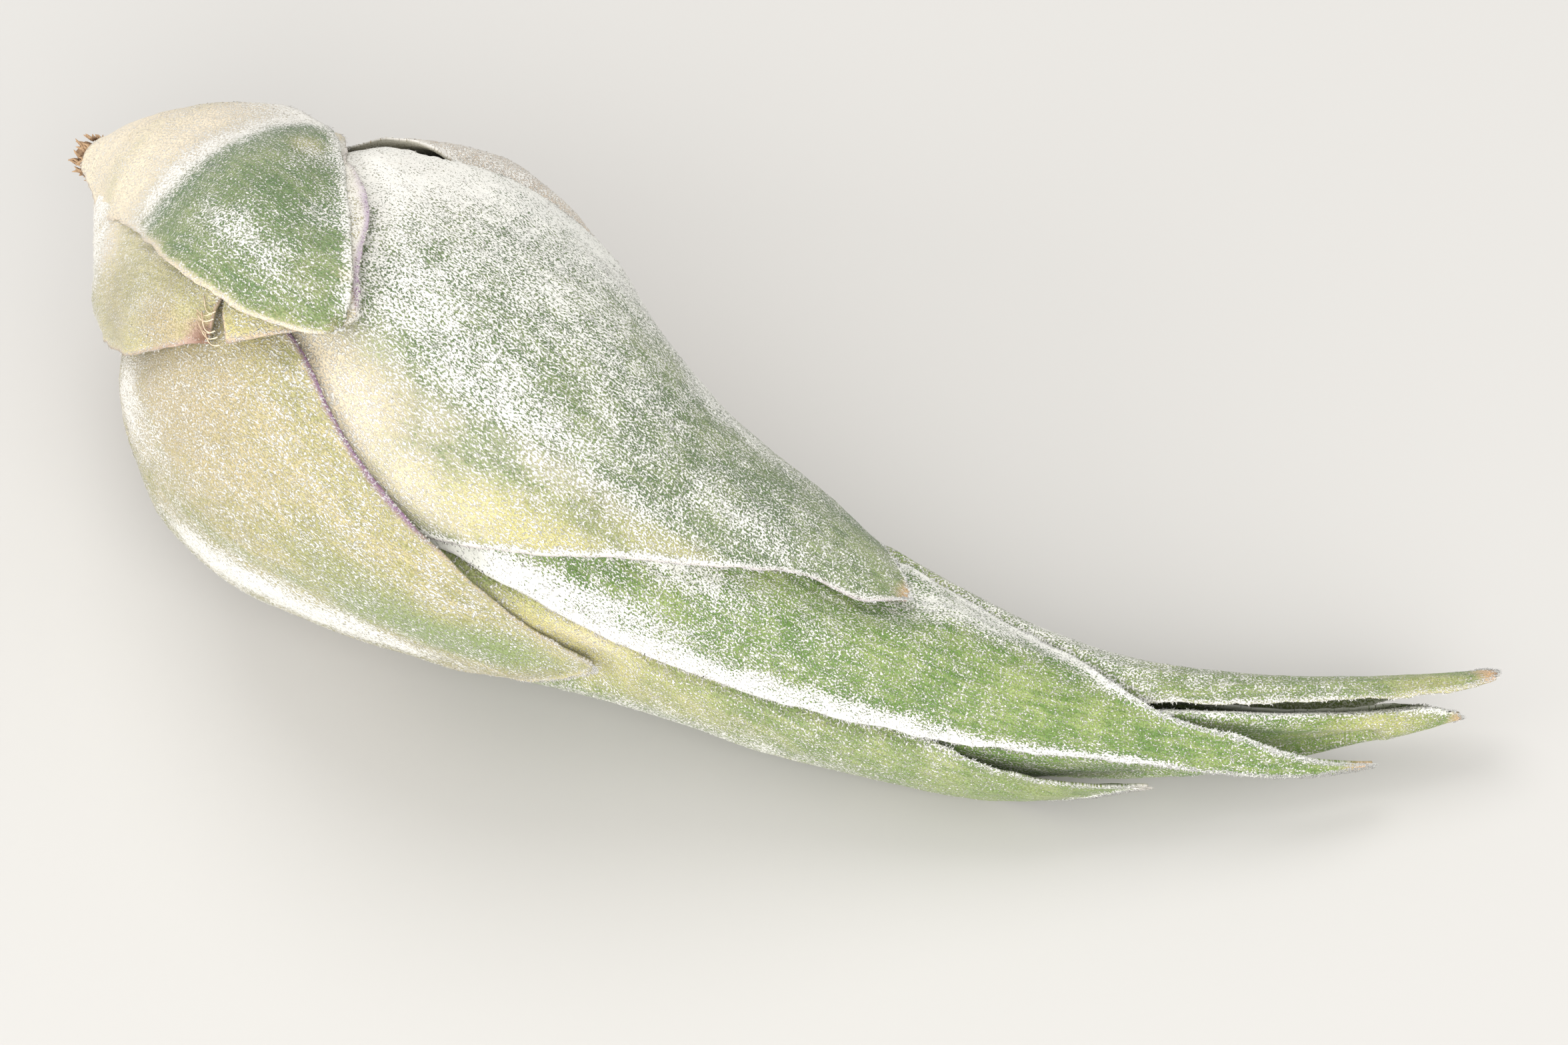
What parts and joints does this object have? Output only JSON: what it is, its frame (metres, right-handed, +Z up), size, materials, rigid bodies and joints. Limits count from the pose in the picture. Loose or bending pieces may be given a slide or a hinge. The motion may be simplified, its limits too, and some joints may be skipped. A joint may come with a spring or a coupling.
{
  "type": "air plant",
  "caption": "Bulbous air plant lying on its side: overlapping fuzzy leaves swell into a bulb and taper to curved channelled tips; torn helmet leaf on the head, short woody stem end.",
  "frame": {"origin": "on the surface the plant lies on, under the middle of its bounding box", "axes": "+X from the stem end towards the leaf tips, +Z up; the plant is seen from its -Y side"},
  "size_m": [0.1656, 0.0838, 0.0595],
  "materials": {
    "cap_leaf": "green leaf with white felted scales",
    "helmet_leaf": "olive leaf with fine felt and a torn dry margin",
    "base_sheath": "dry papery sheath",
    "dry_leaf": "dry grey-beige leaf",
    "left_leaf": "khaki leaf with pale scales and a purple margin",
    "right_leaf": "silver-white felted leaf turning green towards the tip",
    "centre_leaf": "green leaf with white felt along the margins",
    "lower_leaf": "yellow-green leaf with fine felt",
    "upper_leaf": "green channelled leaf with fine felt",
    "end_leaf": "bright green channelled leaf with white margins",
    "heart_leaf": "pale young leaf",
    "stem_base": "dry brown fibrous stem end"
  },
  "bodies": {
    "root": {"stem_base": "stem_base", "cap_leaf": "cap_leaf", "helmet_leaf": "helmet_leaf", "base_sheath": "base_sheath", "dry_leaf": "dry_leaf", "left_leaf": "left_leaf", "right_leaf": "right_leaf", "centre_leaf": "centre_leaf", "lower_leaf": "lower_leaf", "upper_leaf": "upper_leaf", "end_leaf": "end_leaf", "heart_leaf": "heart_leaf"}
  },
  "joints": []
}
